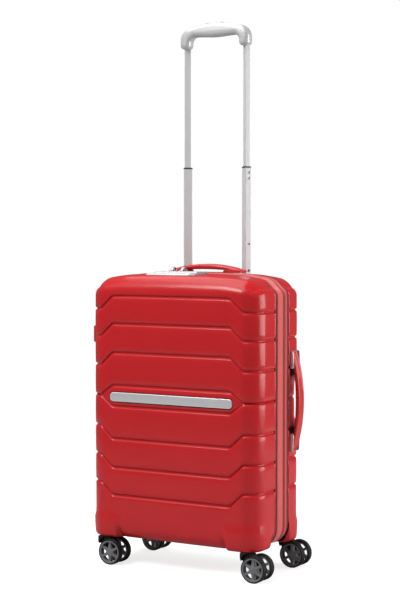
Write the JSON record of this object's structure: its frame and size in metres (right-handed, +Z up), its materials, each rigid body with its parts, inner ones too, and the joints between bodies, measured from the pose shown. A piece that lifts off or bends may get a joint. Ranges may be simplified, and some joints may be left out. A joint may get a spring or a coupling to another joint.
{
  "type": "hard shell suitcase",
  "caption": "Upright hard-shell cabin suitcase in two grooved halves joined by a zip, with spinner casters, a telescopic pull handle, carry handles and a combination lock.",
  "frame": {"origin": "on the floor under the middle of the case", "axes": "+Z up, +X towards the side carry handle, -Y towards the front face"},
  "size_m": [0.3856, 0.19, 1.022],
  "materials": {
    "red_shell": "moulded polypropylene, glossy",
    "red_handle": "moulded, satin gloss",
    "red_textile": "woven nylon tape",
    "lining": "printed polyester lining",
    "mesh": "mesh pocket panel",
    "strap": "woven webbing",
    "tube_metal": "anodised, satin",
    "trim_metal": "brushed",
    "silver_plastic": "silver painted, satin",
    "bracket_silver": "silver painted",
    "black_plastic": "moulded",
    "dark_collar": "moulded",
    "wheel": "grey hub with a black tread",
    "fork": "moulded nylon",
    "lock_metal": "silver, satin",
    "dial": "moulded",
    "zip_metal": "nickel plated",
    "rod_steel": "drawn"
  },
  "bodies": {
    "back_half": {"back_shell": "red_shell", "back_lining": "lining", "back_zip_tape": "red_textile", "expansion_gusset": "red_textile", "outer_tube_left": "tube_metal", "outer_tube_right": "tube_metal", "tube_bezel": "black_plastic", "tube_foot_bracket": "black_plastic", "top_handle_brackets": "red_handle", "side_handle_brackets": "bracket_silver", "rear_caster_housings": "red_shell", "back_foot": "red_shell", "packing_straps": "strap", "strap_buckle": "black_plastic", "strap_clip": "black_plastic"},
    "expansion_slider": {"expansion_slider": "zip_metal"},
    "top_handle": {"top_handle": "red_handle"},
    "side_handle": {"side_handle": "red_handle"},
    "mid_stage": {"mid_tube_left": "tube_metal", "mid_tube_right": "tube_metal", "mid_tube_collars": "dark_collar", "mid_tube_plugs": "black_plastic"},
    "inner_stage": {"inner_tube_left": "tube_metal", "inner_tube_right": "tube_metal", "pull_grip": "silver_plastic", "inner_tube_plugs": "black_plastic"},
    "release_button": {"release_button": "silver_plastic", "release_rods": "rod_steel"},
    "zip_band": {"middle_band": "red_textile", "hinge_strip": "red_textile"},
    "zip_slider_left": {"zip_slider_left": "zip_metal"},
    "zip_slider_right": {"zip_slider_right": "zip_metal"},
    "pull_tab_left": {"pull_tab_left": "zip_metal"},
    "pull_tab_right": {"pull_tab_right": "zip_metal"},
    "front_half": {"front_shell": "red_shell", "front_lining": "lining", "front_zip_tape": "red_textile", "trim_bar": "trim_metal", "lock_base": "lock_metal", "front_caster_housings": "red_shell", "front_foot": "red_shell", "front_pocket": "mesh"},
    "lock_dial_1": {"lock_dial_1": "dial"},
    "lock_dial_2": {"lock_dial_2": "dial"},
    "lock_dial_3": {"lock_dial_3": "dial"},
    "lock_button": {"lock_button": "lock_metal"},
    "key_cylinder": {"key_cylinder": "lock_metal"},
    "caster_front_left": {"caster_fork_front_left": "fork"},
    "wheel_front_left_a": {"wheel_front_left_a": "wheel"},
    "wheel_front_left_b": {"wheel_front_left_b": "wheel"},
    "caster_front_right": {"caster_fork_front_right": "fork"},
    "wheel_front_right_a": {"wheel_front_right_a": "wheel"},
    "wheel_front_right_b": {"wheel_front_right_b": "wheel"},
    "caster_rear_left": {"caster_fork_rear_left": "fork"},
    "wheel_rear_left_a": {"wheel_rear_left_a": "wheel"},
    "wheel_rear_left_b": {"wheel_rear_left_b": "wheel"},
    "caster_rear_right": {"caster_fork_rear_right": "fork"},
    "wheel_rear_right_a": {"wheel_rear_right_a": "wheel"},
    "wheel_rear_right_b": {"wheel_rear_right_b": "wheel"}
  },
  "joints": [
    {"name": "expansion", "type": "slide", "parent": "back_half", "child": "zip_band", "axis": [0, -1, 0], "range_m": [0, 0.03], "deforming": ["expansion_gusset"]},
    {"name": "front_opening", "type": "hinge", "parent": "zip_band", "child": "front_half", "pos_m": [-0.185, -0.0145, 0.3], "axis": [0, 0, -1], "range_deg": [0, 178], "deforming": ["hinge_strip"]},
    {"name": "expansion_slider_slide", "type": "slide", "parent": "back_half", "child": "expansion_slider", "axis": [0, 0, 1], "range_m": [0, 0.34]},
    {"name": "top_handle_lift", "type": "slide", "parent": "back_half", "child": "top_handle", "axis": [0, 0, 1], "range_m": [0, 0.007]},
    {"name": "side_handle_lift", "type": "slide", "parent": "back_half", "child": "side_handle", "axis": [1, 0, 0], "range_m": [0, 0.007]},
    {"name": "mid_stage_slide", "type": "slide", "parent": "back_half", "child": "mid_stage", "axis": [0, 0, 1], "range_m": [-0.202, 0]},
    {"name": "inner_stage_slide", "type": "slide", "parent": "mid_stage", "child": "inner_stage", "axis": [0, 0, 1], "range_m": [-0.224, 0]},
    {"name": "release_button_press", "type": "slide", "parent": "inner_stage", "child": "release_button", "axis": [0, 0, -1], "range_m": [0, 0.003], "stiffness_N_per_m": 900, "springref_m": -0.002},
    {"name": "zip_slider_left_slide", "type": "slide", "parent": "zip_band", "child": "zip_slider_left", "axis": [-1, 0, 0], "range_m": [0, 0.1]},
    {"name": "zip_slider_right_slide", "type": "slide", "parent": "zip_band", "child": "zip_slider_right", "axis": [1, 0, 0], "range_m": [0, 0.12]},
    {"name": "pull_tab_left_swing", "type": "hinge", "parent": "zip_slider_left", "child": "pull_tab_left", "pos_m": [-0.034, -0.015, 0.553], "axis": [-1, 0, 0], "range_deg": [0, 135]},
    {"name": "pull_tab_right_swing", "type": "hinge", "parent": "zip_slider_right", "child": "pull_tab_right", "pos_m": [-0.012, -0.015, 0.553], "axis": [-1, 0, 0], "range_deg": [0, 135]},
    {"name": "lock_button_slide", "type": "slide", "parent": "front_half", "child": "lock_button", "axis": [-1, 0, 0], "range_m": [0, 0.003], "stiffness_N_per_m": 300, "springref_m": -0.001},
    {"name": "key_cylinder_turn", "type": "hinge", "parent": "front_half", "child": "key_cylinder", "pos_m": [0.031, -0.03, 0.55], "axis": [0, 0, 1], "range_deg": [0, 90]},
    {"name": "lock_dial_1_turn", "type": "hinge", "parent": "front_half", "child": "lock_dial_1", "pos_m": [-0.054, -0.03, 0.5458], "axis": [1, 0, 0], "continuous": true},
    {"name": "lock_dial_2_turn", "type": "hinge", "parent": "front_half", "child": "lock_dial_2", "pos_m": [-0.047, -0.03, 0.5458], "axis": [1, 0, 0], "continuous": true},
    {"name": "lock_dial_3_turn", "type": "hinge", "parent": "front_half", "child": "lock_dial_3", "pos_m": [-0.04, -0.03, 0.5458], "axis": [1, 0, 0], "continuous": true},
    {"name": "caster_front_left_swivel", "type": "hinge", "parent": "front_half", "child": "caster_front_left", "pos_m": [-0.153, -0.075, 0.06], "axis": [0, 0, 1], "continuous": true},
    {"name": "wheel_front_left_a_roll", "type": "hinge", "parent": "caster_front_left", "child": "wheel_front_left_a", "pos_m": [-0.132, -0.075, 0.024], "axis": [0, 1, 0], "continuous": true},
    {"name": "wheel_front_left_b_roll", "type": "hinge", "parent": "caster_front_left", "child": "wheel_front_left_b", "pos_m": [-0.132, -0.075, 0.024], "axis": [0, 1, 0], "continuous": true},
    {"name": "caster_front_right_swivel", "type": "hinge", "parent": "front_half", "child": "caster_front_right", "pos_m": [0.153, -0.075, 0.06], "axis": [0, 0, 1], "continuous": true},
    {"name": "wheel_front_right_a_roll", "type": "hinge", "parent": "caster_front_right", "child": "wheel_front_right_a", "pos_m": [0.174, -0.075, 0.024], "axis": [0, 1, 0], "continuous": true},
    {"name": "wheel_front_right_b_roll", "type": "hinge", "parent": "caster_front_right", "child": "wheel_front_right_b", "pos_m": [0.174, -0.075, 0.024], "axis": [0, 1, 0], "continuous": true},
    {"name": "caster_rear_left_swivel", "type": "hinge", "parent": "back_half", "child": "caster_rear_left", "pos_m": [-0.153, 0.075, 0.06], "axis": [0, 0, 1], "continuous": true},
    {"name": "wheel_rear_left_a_roll", "type": "hinge", "parent": "caster_rear_left", "child": "wheel_rear_left_a", "pos_m": [-0.132, 0.075, 0.024], "axis": [0, 1, 0], "continuous": true},
    {"name": "wheel_rear_left_b_roll", "type": "hinge", "parent": "caster_rear_left", "child": "wheel_rear_left_b", "pos_m": [-0.132, 0.075, 0.024], "axis": [0, 1, 0], "continuous": true},
    {"name": "caster_rear_right_swivel", "type": "hinge", "parent": "back_half", "child": "caster_rear_right", "pos_m": [0.153, 0.075, 0.06], "axis": [0, 0, 1], "continuous": true},
    {"name": "wheel_rear_right_a_roll", "type": "hinge", "parent": "caster_rear_right", "child": "wheel_rear_right_a", "pos_m": [0.174, 0.075, 0.024], "axis": [0, 1, 0], "continuous": true},
    {"name": "wheel_rear_right_b_roll", "type": "hinge", "parent": "caster_rear_right", "child": "wheel_rear_right_b", "pos_m": [0.174, 0.075, 0.024], "axis": [0, 1, 0], "continuous": true}
  ]
}
